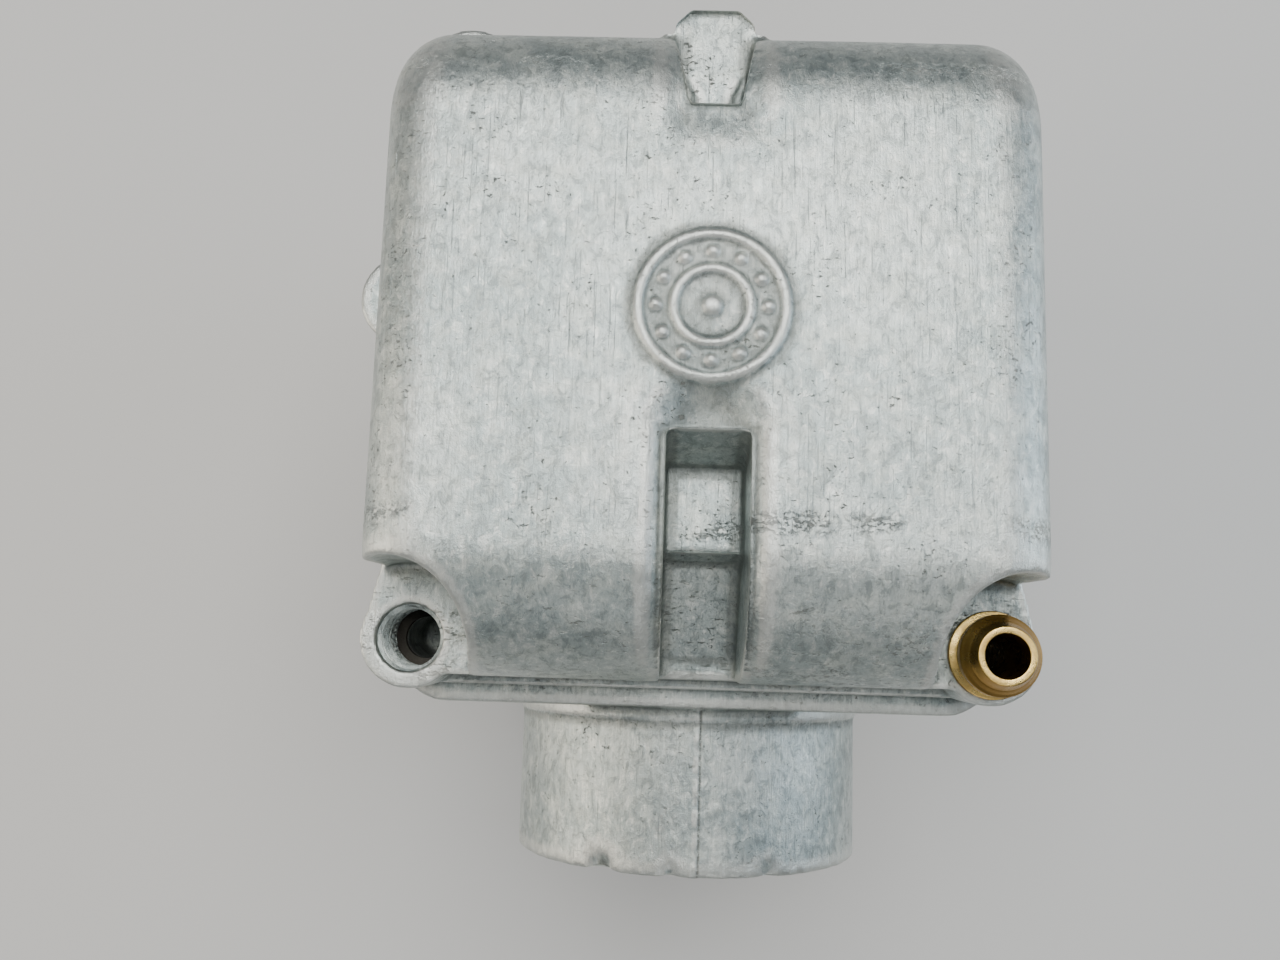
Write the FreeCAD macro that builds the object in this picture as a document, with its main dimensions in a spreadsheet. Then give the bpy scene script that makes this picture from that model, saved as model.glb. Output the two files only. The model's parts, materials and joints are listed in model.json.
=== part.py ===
import FreeCAD, Part
import Sketcher
import math
import os
import re

# Float carburettor, constant-vacuum type, standing on its vacuum chamber cover
# with the float bowl on top.  Millimetres.  The origin is the centre of the
# engine spigot's end face, +Y runs along the bore into the body, +Z points to
# the float bowl's flat face and +X is to the right of someone facing +Y.

Vector = FreeCAD.Vector
Rotation = FreeCAD.Rotation

SIZES = {
    # bore, spigots and barrel
    "bore_radius": 19.0,
    "venturi_radius": 17.0,
    "mouth_radius": 21.0,
    "spigot_radius": 22.0,
    "spigot_length": 17.6,
    "barrel_radius": 22.4,
    "intake_radius": 23.0,
    "intake_start": 94.0,
    "body_front": 19.0,
    "intake_end": 100.0,
    "throttle_place": 24.6,
    "piston_place": 60.0,
    # joint between body and float bowl
    "body_flange_bottom": 19.5,
    "body_flange_top": 23.2,
    "bowl_bottom": 24.0,
    "bowl_flange_top": 26.8,
    "flange_half_width": 34.6,
    "flange_corner": 6.0,
    # float bowl
    "bowl_half_width": 34.0,
    "bowl_front": 22.5,
    "bowl_rear": 91.9,
    "bowl_top": 48.5,
    "bowl_front_round": 13.6,
    "bowl_rear_round": 12.5,
    "bowl_side_round": 6.5,
    "bowl_wall": 2.5,
    "lug_place_x": 31.0,
    "lug_place_y": 26.2,
    "lug_top": 33.0,
    "lug_radius": 5.4,
    "scallop_radius": 8.0,
    "port_radius": 3.4,
    "port_mouth_radius": 3.62,
    "port_mouth_depth": 1.5,
    "passage_radius": 2.4,
    "ear_radius": 5.4,
    "ear_top": 29.0,
    # steps of the channel in the bowl's front
    "channel_half_width": 4.1,
    "channel_top_edge": 47.5,
    "channel_back": 44.4,
    "channel_shelf": 40.5,
    "channel_step": 35.4,
    "channel_step_bottom": 36.5,
    "channel_end": 24.6,
    "channel_end_height": 30.5,
    # notch and tongue at the bowl's rear
    "notch_back": 80.0,
    "notch_bottom": 36.0,
    "tongue_top": 42.5,
    "tongue_neck_half": 1.9,
    "tongue_half_width": 4.2,
    "tongue_end": 93.6,
    # vacuum chamber
    "piston_radius": 15.0,
    "piston_face": 15.0,
    "guide_clearance": 0.06,
    "tower_radius": 19.5,
    "dish_top": -26.0,
    "dish_floor": -29.0,
    "dish_rim": -33.0,
    "dish_radius": 40.0,
    "dish_inside": 36.5,
    "cover_floor": -58.5,
    "cover_bottom": -61.5,
    "cover_screw_circle": 42.5,
    "cover_ear_radius": 5.0,
    # throttle
    "shaft_radius": 4.0,
    "shaft_clearance": 0.05,
    "plate_thickness": 1.5,
    "plate_clearance": 0.06,
    # float
    "float_bottom": 26.6,
    "float_top": 37.6,
    "float_front": 38.5,
    "float_rear": 71.0,
    "hinge_place_y": 86.4,
    "hinge_place_z": 28.4,
    "hinge_pin_radius": 1.2,
    "needle_place_x": 18.0,
    "needle_place_y": 78.0,
    # screws and jets
    "idle_jet_place": 42.0,
    "mixture_place_y": 37.0,
    "stop_place_x": 28.0,
    "stop_place_z": 7.0,
    # springs: radius of the wire, radius of the coil, rise of each turn
    "piston_wire": 0.6,
    "piston_coil": 9.5,
    "piston_pitch": 6.95,
    "return_wire": 0.5,
    "return_coil": 5.2,
    "return_pitch": 1.25,
    "stop_wire": 0.4,
    "stop_coil": 2.8,
    "stop_pitch": 1.35,
    "mixture_wire": 0.35,
    "mixture_coil": 2.7,
    "mixture_pitch": 1.2,
}

doc = FreeCAD.newDocument("carburettor")
sheet = doc.addObject("Spreadsheet::Sheet", "sizes")
for row, (size_name, size_value) in enumerate(SIZES.items(), 1):
    sheet.set(f"A{row}", size_name)
    sheet.set(f"B{row}", str(size_value))
    sheet.setAlias(f"B{row}", size_name)
doc.recompute()

nodes = []

TURNS = {
    "Z": Rotation(),
    "-Z": Rotation(Vector(1, 0, 0), 180),
    "X": Rotation(Vector(0, 1, 0), 90),
    "-X": Rotation(Vector(0, 1, 0), -90),
    "Y": Rotation(Vector(1, 0, 0), -90),
    "-Y": Rotation(Vector(1, 0, 0), 90),
}


def number(expression):
    """Value of a sheet expression made of sizes, numbers, + - * and brackets."""
    tokens = re.findall(r"[a-z_]+|[0-9.]+|[-+*()]", str(expression))

    def factor():
        token = tokens.pop(0)
        if token == "-":
            return -factor()
        if token == "(":
            inner = total()
            tokens.pop(0)
            return inner
        return SIZES[token] if token in SIZES else float(token)

    def product():
        result = factor()
        while tokens and tokens[0] == "*":
            tokens.pop(0)
            result *= factor()
        return result

    def total():
        result = product()
        while tokens and tokens[0] in "+-":
            sign = 1 if tokens.pop(0) == "+" else -1
            result += sign * product()
        return result

    return total()


def bind(thing, place, expression):
    """Bind a property or constraint to the sheet."""
    thing.setExpression(place, re.sub(r"[a-z_]+[a-z]", r"sizes.\g<0>", str(expression)))


def put(thing, at, axis="Z"):
    """Place a piece at three sheet expressions, its own Z along an axis."""
    base = Vector(*[number(value) for value in at])
    thing.Placement = FreeCAD.Placement(base, TURNS[axis])
    for letter, value in zip("xyz", at):
        bind(thing, f"Placement.Base.{letter}", value)
    return thing


def rod(radius, length, at, axis="Z"):
    piece = doc.addObject("Part::Cylinder", "rod")
    bind(piece, "Radius", radius)
    bind(piece, "Height", length)
    return put(piece, at, axis)


def block(low, high):
    """Box between two corners given as sheet expressions."""
    piece = doc.addObject("Part::Box", "block")
    for side, start, end in zip(("Length", "Width", "Height"), low, high):
        bind(piece, side, f"({end}) - ({start})")
    return put(piece, low)


def hexagon(radius, length, at, axis="Z"):
    piece = doc.addObject("Part::Prism", "hexagon")
    piece.Polygon = 6
    bind(piece, "Circumradius", radius)
    bind(piece, "Height", length)
    return put(piece, at, axis)


def fuse(*pieces):
    """Join pieces one after another."""
    joined = pieces[0]
    for piece in pieces[1:]:
        pair = doc.addObject("Part::Fuse", "fuse")
        pair.Base = joined
        pair.Tool = piece
        joined = pair
    return joined


def group(*pieces):
    """Join pieces in one step, as for several separate solids or tools."""
    joined = doc.addObject("Part::MultiFuse", "group")
    joined.Shapes = list(pieces)
    return joined


def cut(base, *tools):
    result = doc.addObject("Part::Cut", "cut")
    result.Base = base
    result.Tool = tools[0] if len(tools) == 1 else group(*tools)
    return result


def common(first, second):
    result = doc.addObject("Part::Common", "common")
    result.Base = first
    result.Tool = second
    return result


def new_sketch(body, role):
    plane = [item for item in body.Origin.OriginFeatures if item.Role == role][0]
    sketch = body.newObject("Sketcher::SketchObject", "sketch")
    sketch.AttachmentSupport = [(plane, "")]
    sketch.MapMode = "FlatFace"
    return sketch


def pin_point(sketch, edge, end, across, up):
    """Hold a sketch point at two sheet expressions, across and up."""
    for kind, expression, axis in (("DistanceX", across, -2), ("DistanceY", up, -1)):
        if abs(number(expression)) < 1e-9:
            sketch.addConstraint(Sketcher.Constraint("PointOnObject", edge, end, axis))
            continue
        place = sketch.addConstraint(
            Sketcher.Constraint(kind, -1, 1, edge, end, number(expression)))
        bind(sketch, f"Constraints[{place}]", expression)


def outline(sketch, points):
    """Closed outline of straight edges through (across, up) sheet expressions."""
    count = len(points)
    for index in range(count):
        here = Vector(number(points[index][0]), number(points[index][1]), 0)
        following = points[(index + 1) % count]
        there = Vector(number(following[0]), number(following[1]), 0)
        sketch.addGeometry(Part.LineSegment(here, there), False)
    for index in range(count):
        sketch.addConstraint(
            Sketcher.Constraint("Coincident", index, 2, (index + 1) % count, 1))
    for index, point in enumerate(points):
        pin_point(sketch, index, 1, point[0], point[1])


def turned(profile, at=("0", "0", "0"), axis="Z"):
    """Body turned about its own Z from (radius, height) sheet expressions."""
    body = doc.addObject("PartDesign::Body", "turned")
    sketch = new_sketch(body, "XZ_Plane")
    outline(sketch, profile)
    turn = body.newObject("PartDesign::Revolution", "turn")
    turn.Profile = sketch
    turn.ReferenceAxis = (sketch, ["V_Axis"])
    turn.Angle = 360
    body.Tip = turn
    return put(body, at, axis)


def slab(points, role, length, at=("0", "0", "0"), middle=False):
    """Body padded from an outline on one of its origin planes."""
    body = doc.addObject("PartDesign::Body", "slab")
    sketch = new_sketch(body, role)
    outline(sketch, points)
    pad = body.newObject("PartDesign::Pad", "pad")
    pad.Profile = sketch
    bind(pad, "Length", length)
    if middle:
        pad.SideType = "Symmetric"
    body.Tip = pad
    return put(body, at)


def soften(body, radius, wanted):
    """Fillet the edges of a body's newest feature that a test picks."""
    doc.recompute()
    base = body.Tip
    picks = []
    for index, edge in enumerate(base.Shape.Edges, 1):
        if wanted(edge.BoundBox):
            picks.append(f"Edge{index}")
    fillet = body.newObject("PartDesign::Fillet", "fillet")
    fillet.Base = (base, picks)
    bind(fillet, "Radius", radius)
    body.Tip = fillet
    return body


def rounded_slab(low, high, corner):
    """Box between two corners with its four upright edges rounded."""
    corners = [(low[0], low[1]), (high[0], low[1]), (high[0], high[1]), (low[0], high[1])]
    body = slab(corners, "XY_Plane", f"({high[2]}) - ({low[2]})", ("0", "0", low[2]))
    return soften(body, corner, lambda box: box.XLength < 0.01 and box.YLength < 0.01)


def coil(name, wire_radius, radius, pitch, turns, at, axis="Z"):
    """Helical spring of round wire, cut off square to the wire at both ends, named as a node."""
    wire, middle, rise = number(wire_radius), number(radius), number(pitch)
    helix = Part.makeHelix(rise, rise * turns, middle)
    climb = math.atan2(rise, 2 * math.pi * middle)
    along_wire = Vector(0, math.cos(climb), math.sin(climb))
    section = Part.makeCircle(wire, Vector(middle, 0, 0), along_wire)
    pipe = Part.Wire(helix.Edges).makePipeShell([Part.Wire(section)], True, True)
    piece = doc.addObject("Part::Feature", name)
    piece.Shape = pipe
    piece.Placement = FreeCAD.Placement(Vector(*[number(value) for value in at]), TURNS[axis])
    return node(name, piece)


def node(name, piece):
    piece.Label = name
    nodes.append((name, piece))
    return piece


# ---- float bowl ---------------------------------------------------------

EARS = [
    ("-34.5", "65"),
    ("33", "52"),
    ("-28.5", "93.3"),
    ("28", "92.3"),
]
FRONT_SCREWS = [("-21.5", "28"), ("21.5", "28")]
LUGS = [("- lug_place_x", "lug_place_y"), ("lug_place_x", "lug_place_y")]


def bowl_block(half_width, front, rear, bottom, top, front_round, rear_round, side_round):
    """Block rounded over along its front, rear and side edges."""
    corners = [(front, bottom), (rear, bottom), (rear, top), (front, top)]
    body = slab(corners, "YZ_Plane", f"({half_width}) * 2", middle=True)
    middle = (number(front) + number(rear)) / 2
    crest = number(top) - 0.1
    soften(body, front_round, lambda box: box.ZMin > crest and box.XLength > 9 and box.YMax < middle)
    soften(body, rear_round, lambda box: box.ZMin > crest and box.XLength > 9 and box.YMin > middle)
    floor = number(bottom) + 0.1
    return soften(body, side_round, lambda box: box.XLength < 0.1 and box.ZMax > floor)


def flange(low_z, high_z, front, rear, ears=EARS):
    """Flange plate with its lugs and screw ears."""
    plate = rounded_slab(
        ("- flange_half_width", front, low_z), ("flange_half_width", rear, high_z), "flange_corner")
    height = f"({high_z}) - ({low_z})"
    round_parts = [rod("lug_radius", height, (x, y, low_z)) for x, y in LUGS]
    round_parts += [rod("ear_radius", height, (x, y, low_z)) for x, y in ears]
    return fuse(plate, *round_parts)


def make_float_bowl():
    shell = bowl_block("bowl_half_width", "bowl_front", "bowl_rear", "bowl_bottom", "bowl_top",
                       "bowl_front_round", "bowl_rear_round", "bowl_side_round")
    scallops = [rod("scallop_radius", "20", (x, y, "lug_top")) for x, y in LUGS]
    shell = cut(shell, *scallops)

    lugs = [rod("lug_radius", "lug_top - bowl_bottom", (x, y, "bowl_bottom")) for x, y in LUGS]
    webs = []
    for side in (-1, 1):
        wall = f"bowl_half_width * {side}"
        edge = f"lug_place_x * {side} + lug_radius * {side}"
        web = [(wall, "lug_place_y"), (edge, "lug_place_y"), (wall, "36")]
        if side < 0:
            web.reverse()
        webs.append(slab(web, "XY_Plane", "lug_top - bowl_bottom", ("0", "0", "bowl_bottom")))
    ears = [rod("ear_radius", "ear_top - bowl_bottom", (x, y, "bowl_bottom")) for x, y in EARS]
    tongue_points = [
        ("- tongue_neck_half", "79"), ("tongue_neck_half", "79"), ("tongue_neck_half", "84"),
        ("tongue_half_width", "88"), ("tongue_half_width", "tongue_end - 1.6"),
        ("tongue_half_width - 1.6", "tongue_end"), ("1.6 - tongue_half_width", "tongue_end"),
        ("- tongue_half_width", "tongue_end - 1.6"), ("- tongue_half_width", "88"),
        ("- tongue_neck_half", "84"),
    ]
    tongue = slab(tongue_points, "XY_Plane", "tongue_top - bowl_bottom", ("0", "0", "bowl_bottom"))

    cavity = bowl_block(
        "bowl_half_width - bowl_wall", "bowl_front + bowl_wall", "bowl_rear - bowl_wall",
        "bowl_bottom - 1", "bowl_top - bowl_wall", "bowl_front_round - bowl_wall",
        "bowl_rear_round - bowl_wall", "bowl_side_round - bowl_wall")
    keep = [rod("scallop_radius + bowl_wall", "30", (x, y, "bowl_bottom - 2")) for x, y in LUGS]
    keep += [rod("4.6", "12", (x, y, "bowl_bottom - 2")) for x, y in FRONT_SCREWS]
    under_channel = [
        ("bowl_front", "channel_end_height - 4"), ("channel_step + 1", "channel_step_bottom - 3"),
        ("channel_back + 3", "channel_shelf - 3"), ("channel_top_edge + 3", "bowl_top"),
        ("bowl_front", "bowl_top"),
    ]
    keep.append(slab(under_channel, "YZ_Plane", "channel_half_width * 2 + 5", middle=True))
    keep.append(block(("-7.5", "notch_back - 2.6", "notch_bottom - 3"), ("7.5", "95", "bowl_top")))
    cavity = cut(cavity, *keep)

    channel_points = [
        ("bowl_front - 3", "channel_end_height"), ("channel_end", "channel_end_height"),
        ("channel_step - 0.6", "channel_step_bottom"), ("channel_step + 0.4", "channel_shelf"),
        ("channel_back", "channel_shelf"), ("channel_top_edge", "bowl_top + 1"),
        ("bowl_front - 3", "bowl_top + 1"),
    ]
    channel = slab(channel_points, "YZ_Plane", "channel_half_width * 2", middle=True)
    notch_points = [("-2.6", "notch_back"), ("2.6", "notch_back"), ("5.4", "96"), ("-5.4", "96")]
    notch = slab(notch_points, "XY_Plane", "20", ("0", "0", "notch_bottom"))

    plate = flange("bowl_bottom", "bowl_flange_top", "21.3", "93")
    whole = cut(fuse(cut(shell, channel, notch), plate, *lugs, *webs, *ears, tongue), cavity)

    screw_holes = [rod("2.02", "5.6", (x, y, "bowl_bottom - 1")) for x, y in EARS]
    screw_holes += [rod("2.02", "9", (x, y, "bowl_bottom - 1")) for x, y in FRONT_SCREWS]
    port = rod("port_radius", "12", ("- lug_place_x", "lug_place_y", "bowl_bottom - 1"))
    port_mouth = rod("port_mouth_radius", "5",
                     ("- lug_place_x", "lug_place_y", "lug_top - port_mouth_depth"))
    nipple_hole = rod("3.0", "12", ("lug_place_x", "lug_place_y", "bowl_bottom - 1"))
    node("float_bowl", cut(whole, port, port_mouth, nipple_hole, *screw_holes))


def make_bowl_gasket():
    ring_plate = flange("body_flange_top", "bowl_bottom", "21.3", "93")
    window = rounded_slab(
        ("bowl_wall - bowl_half_width", "bowl_front + bowl_wall", "body_flange_top - 1"),
        ("bowl_half_width - bowl_wall", "bowl_rear - bowl_wall", "bowl_bottom + 1"), "4")
    corners = [rod("scallop_radius + bowl_wall", "5", (x, y, "body_flange_top - 2"))
               for x, y in LUGS]
    corners += [rod("4.6", "5", (x, y, "body_flange_top - 2")) for x, y in FRONT_SCREWS]
    window = cut(window, *corners)
    holes = [rod("2.2", "4", (x, y, "body_flange_top - 1")) for x, y in EARS + FRONT_SCREWS]
    holes += [rod("passage_radius", "4", (x, y, "body_flange_top - 1")) for x, y in LUGS]
    node("bowl_gasket", cut(ring_plate, window, *holes))


def make_bowl_screws():
    """Cheese-head M4 screws that enter from under the body flange."""
    screws = []
    for places, length in ((EARS, "8.9"), (FRONT_SCREWS, "12.2")):
        for x, y in places:
            shank = rod("2.0", length, (x, y, "body_flange_bottom"))
            head = rod("3.4", "3.0", (x, y, "body_flange_bottom - 3"))
            slot = block((f"{x} - 4", f"{y} - 0.5", "body_flange_bottom - 4"),
                         (f"{x} + 4", f"{y} + 0.5", "body_flange_bottom - 2"))
            screws.append(cut(fuse(shank, head), slot))
    node("bowl_screws", group(*screws))


# ---- body ---------------------------------------------------------------

COVER_ANGLES = (45, 135, 225, 315)


def on_cover_circle(angle):
    """Sheet expressions for a point on the cover's screw circle."""
    across = round(math.cos(math.radians(angle)), 6)
    along = round(math.sin(math.radians(angle)), 6)
    return f"cover_screw_circle * {across}", f"piston_place + cover_screw_circle * {along}"


STARTER_PLACE = ("61", "- 4")
STARTER_SCREWS = [(-9, 9), (9, 9), (-9, -9), (9, -9)]


def starter_rod(radius, length, start, across=0, up=0):
    """Rod along X in the starter's stack, from a place on X."""
    at = (start, f"{STARTER_PLACE[0]} + {across}", f"{STARTER_PLACE[1]} + {up}")
    return rod(radius, length, at, "X")


def make_carb_body():
    barrel = rod("barrel_radius", "intake_start - spigot_length", ("0", "spigot_length", "0"), "Y")
    spigot = rod("spigot_radius", "spigot_length", ("0", "0", "0"), "Y")
    intake = rod("intake_radius", "intake_end - intake_start", ("0", "intake_start", "0"), "Y")
    tower = rod("tower_radius", "body_flange_top - dish_floor", ("0", "piston_place", "dish_floor"))
    plate = flange("body_flange_bottom", "body_flange_top", "body_front", "93")
    lugs = [rod("lug_radius", "9.8", (x, y, "body_flange_top - 9.8")) for x, y in LUGS]
    shaft_boss = rod("6.3", "52", ("-26", "throttle_place", "0"), "X")
    dish = rod("dish_radius", "dish_top - dish_rim", ("0", "piston_place", "dish_rim"))
    dish_ears = []
    for angle in COVER_ANGLES:
        x, y = on_cover_circle(angle)
        dish_ears.append(rod("cover_ear_radius", "dish_top - dish_rim", (x, y, "dish_rim")))
    starter_boss = starter_rod("15", "12", "-25")
    inlet_boss = rod("5.8", "16", ("needle_place_x", "needle_place_y", "body_flange_top - 14"))
    inlet_arm = rod("4.6", "10", ("needle_place_x", "needle_place_y", "14"), "X")
    jet_tower = rod("5.6", "8", ("0", "piston_place", "body_flange_top - 1"))
    idle_tower = rod("4.2", "7", ("0", "idle_jet_place", "body_flange_top - 1"))
    hinge_posts = [block((x, "hinge_place_y - 2.2", "body_flange_top - 1"),
                         (f"{x} + 2.6", "hinge_place_y + 2.2", "hinge_place_z + 2.2"))
                   for x in ("-10.6", "8")]
    mixture_boss = rod("4.6", "14", ("-30", "mixture_place_y", "5"), "X")
    stop_boss = block(("14", "36", "3"), ("30.6", "42", "11"))

    bore = turned([
        ("0", "-1"), ("bore_radius", "-1"), ("bore_radius", "40"), ("venturi_radius", "44.5"),
        ("venturi_radius", "77"), ("mouth_radius", "intake_end - 3"),
        ("mouth_radius + 0.9", "intake_end + 1"), ("0", "intake_end + 1"),
    ], axis="Y")
    guide = rod("piston_radius + guide_clearance", "60",
                ("0", "piston_place", "piston_face + 0.8 - 60"))
    under_dish = rod("dish_inside", "dish_floor - dish_rim + 1",
                     ("0", "piston_place", "dish_rim - 1"))
    tube_hole = rod("3.02", "30", ("0", "piston_place", "10"))
    shaft_hole = rod("shaft_radius + shaft_clearance", "60", ("-30", "throttle_place", "0"), "X")
    seal_seats = [rod("5.2", "2.2", (x, "throttle_place", "0"), "X") for x in ("-26.1", "23.9")]
    seat_hole = rod("3.62", "9.2", ("needle_place_x", "needle_place_y", "18"))
    fuel_drop = rod("1.6", "10", ("needle_place_x", "needle_place_y", "13"))
    fuel_way = rod("2.6", "16", ("needle_place_x", "needle_place_y", "14"), "X")
    idle_hole = rod("2.52", "12", ("0", "idle_jet_place", "20.2"))
    pin_hole = rod("hinge_pin_radius + 0.02", "30", ("-15", "hinge_place_y", "hinge_place_z"), "X")
    mixture_hole = rod("2.04", "20", ("-34", "mixture_place_y", "5"), "X")
    stop_hole = rod("2.02", "12", ("stop_place_x", "33", "stop_place_z"), "Y")
    starter_hole = starter_rod("9.6", "2.9", "-26")
    screw_holes = [rod("2.2", "6", (x, y, "body_flange_bottom - 1"))
                   for x, y in EARS + FRONT_SCREWS]
    port_ways = [rod("passage_radius", "9.6", (x, y, "body_flange_top - 8.6")) for x, y in LUGS]
    dish_holes = []
    for angle in COVER_ANGLES:
        x, y = on_cover_circle(angle)
        dish_holes.append(rod("2.02", "9", (x, y, "dish_rim - 1")))
    starter_holes = [starter_rod("1.52", "7", "-26", across, up) for across, up in STARTER_SCREWS]

    solid = fuse(barrel, spigot, intake, tower, plate, dish, shaft_boss, starter_boss, inlet_boss,
                 inlet_arm, jet_tower, idle_tower, mixture_boss, stop_boss,
                 *lugs, *dish_ears, *hinge_posts)
    node("carb_body", cut(solid, bore, guide, under_dish, tube_hole, shaft_hole, seat_hole,
                          fuel_drop, fuel_way, idle_hole, pin_hole, mixture_hole, stop_hole,
                          starter_hole, *seal_seats, *screw_holes, *port_ways, *dish_holes,
                          *starter_holes))


# ---- vacuum piston and its chamber --------------------------------------

PISTON = ("0", "piston_place", "0")
RING_SCREWS = ((14, 14), (-14, 14), (14, -14), (-14, -14))


def ring_screw_rod(radius, length, start, across, along):
    return rod(radius, length, (f"{across}", f"piston_place + {along}", start))


def make_vacuum_piston():
    cup = turned([
        ("1.25", "piston_face"), ("piston_radius", "piston_face"), ("piston_radius", "-29.4"),
        ("24", "-29.4"), ("24", "-31.2"), ("13.2", "-31.2"), ("13.2", "12.2"), ("4", "12.2"),
        ("4", "8"), ("1.25", "8"),
    ], PISTON)
    air_holes = [rod("1.6", "6", (x, "piston_place", "piston_face - 5")) for x in ("-8.5", "8.5")]
    threads = [ring_screw_rod("1.22", "4", "-32", *place) for place in RING_SCREWS]
    node("vacuum_piston", cut(cup, *air_holes, *threads))


def make_jet_needle():
    node("jet_needle", turned([
        ("0", "6.4"), ("2.2", "6.4"), ("2.2", "8"), ("1.2", "8"), ("1.2", "24"),
        ("0.6", "41.5"), ("0", "41.5"),
    ], PISTON))
    node("needle_retainer", turned([
        ("0", "5.2"), ("5.2", "5.2"), ("5.2", "11"), ("4.02", "11"), ("4.02", "6.4"),
        ("0", "6.4"),
    ], PISTON))


def make_diaphragm():
    skin = turned([
        ("13.4", "-31.2"), ("25", "-31.2"), ("27", "-36"), ("30.3", "-37.6"), ("33.4", "-36"),
        ("35", "dish_rim"), ("39", "dish_rim"), ("39", "dish_rim - 0.8"),
        ("35.9", "dish_rim - 0.8"), ("34.2", "-36.8"), ("30.3", "-38.5"), ("26.4", "-36.9"),
        ("24.4", "-32"), ("13.4", "-32"),
    ], PISTON)
    holes = [ring_screw_rod("1.4", "2", "-32.6", *place) for place in RING_SCREWS]
    node("diaphragm", cut(skin, *holes))
    clamp = turned([("16", "-33.4"), ("23.5", "-33.4"), ("23.5", "-32"), ("16", "-32")], PISTON)
    clamp_holes = [ring_screw_rod("1.3", "3", "-34", *place) for place in RING_SCREWS]
    node("diaphragm_ring", cut(clamp, *clamp_holes))
    screws = []
    for place in RING_SCREWS:
        shank = ring_screw_rod("1.2", "3.6", "-33.4", *place)
        head = ring_screw_rod("2.4", "1.3", "-34.7", *place)
        screws.append(fuse(shank, head))
    node("ring_screws", group(*screws))


def make_chamber_cover():
    dome = turned([
        ("0", "cover_bottom"), ("31", "cover_bottom"), ("33.5", "cover_bottom + 2.5"),
        ("36", "-41"), ("37.5", "-37"), ("dish_radius", "-37"),
        ("dish_radius", "dish_rim - 0.8"), ("36.3", "dish_rim - 0.8"), ("35.6", "-36.6"),
        ("34.2", "-40.4"), ("31.6", "cover_floor + 1.5"), ("30", "cover_floor"),
        ("7", "cover_floor"), ("6.2", "-50"), ("0", "-50"),
    ], PISTON)
    ears = []
    holes = []
    for angle in COVER_ANGLES:
        x, y = on_cover_circle(angle)
        ears.append(rod("cover_ear_radius", "3.2", (x, y, "dish_rim - 4")))
        holes.append(rod("2.2", "6", (x, y, "dish_rim - 5")))
    node("chamber_cover", cut(fuse(dome, *ears), *holes))


def make_cover_screws():
    screws = []
    for angle in COVER_ANGLES:
        x, y = on_cover_circle(angle)
        shank = rod("2.0", "10", (x, y, "dish_rim - 4"))
        head = rod("3.5", "3", (x, y, "dish_rim - 7"))
        socket = hexagon("1.7", "2", (x, y, "dish_rim - 7.5"))
        screws.append(cut(fuse(shank, head), socket))
    node("cover_screws", group(*screws))


# ---- throttle -----------------------------------------------------------

CLOSED_ANGLE = 10
PLATE_TURN = Rotation(Vector(1, 0, 0), CLOSED_ANGLE)


def tilt(piece, low):
    """Turn a piece about the throttle axis to the closed angle; low is its own corner."""
    centre = Vector(0, SIZES["throttle_place"], 0)
    piece.Placement = FreeCAD.Placement(centre + PLATE_TURN.multVec(Vector(*low)), PLATE_TURN)
    return piece


def tilted_rod(radius, x, start, length):
    """Rod along the throttle plate's normal, from a distance off its mid-plane."""
    piece = doc.addObject("Part::Cylinder", "rod")
    bind(piece, "Radius", radius)
    bind(piece, "Height", length)
    lay = PLATE_TURN.multiply(TURNS["Y"])
    centre = Vector(0, SIZES["throttle_place"], 0)
    piece.Placement = FreeCAD.Placement(centre + PLATE_TURN.multVec(Vector(x, start, 0)), lay)
    return piece


def plate_slab(width, thickness):
    piece = doc.addObject("Part::Box", "block")
    bind(piece, "Length", width)
    bind(piece, "Width", thickness)
    bind(piece, "Height", width)
    half = number(width) / 2
    return tilt(piece, (-half, -number(thickness) / 2, -half))


PLATE_SCREWS_X = (-8, 8)


def make_throttle():
    disc = rod("bore_radius - plate_clearance", "40", ("0", "throttle_place - 20", "0"), "Y")
    plate = common(plate_slab("bore_radius * 2 + 2", "plate_thickness"), disc)
    node("throttle_plate", cut(plate, *[tilted_rod("1.5", x, -6, "12") for x in PLATE_SCREWS_X]))

    bar = rod("shaft_radius", "67", ("-29", "throttle_place", "0"), "X")
    slot = plate_slab("bore_radius * 2 + 0.4", "plate_thickness + 0.02")
    seats = [tilted_rod("2.65", x, -6, "3") for x in PLATE_SCREWS_X]
    threads = [tilted_rod("1.5", x, -6, "12") for x in PLATE_SCREWS_X]
    node("throttle_shaft", cut(bar, slot, *seats, *threads))

    screws = []
    for x in PLATE_SCREWS_X:
        screws.append(fuse(tilted_rod("1.5", x, -3, "7"), tilted_rod("2.6", x, -4.5, "1.5")))
    node("plate_screws", group(*screws))

    seals = []
    for x in ("-26", "24"):
        outer = rod("5.18", "2", (x, "throttle_place", "0"), "X")
        inner = rod("shaft_radius + 0.06", "3", (f"{x} - 0.5", "throttle_place", "0"), "X")
        seals.append(cut(outer, inner))
    node("shaft_seals", group(*seals))

    clip = rod("5.6", "1", ("-27.6", "throttle_place", "0"), "X")
    node("shaft_clip", cut(clip, rod("shaft_radius", "3", ("-28.5", "throttle_place", "0"), "X")))


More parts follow.
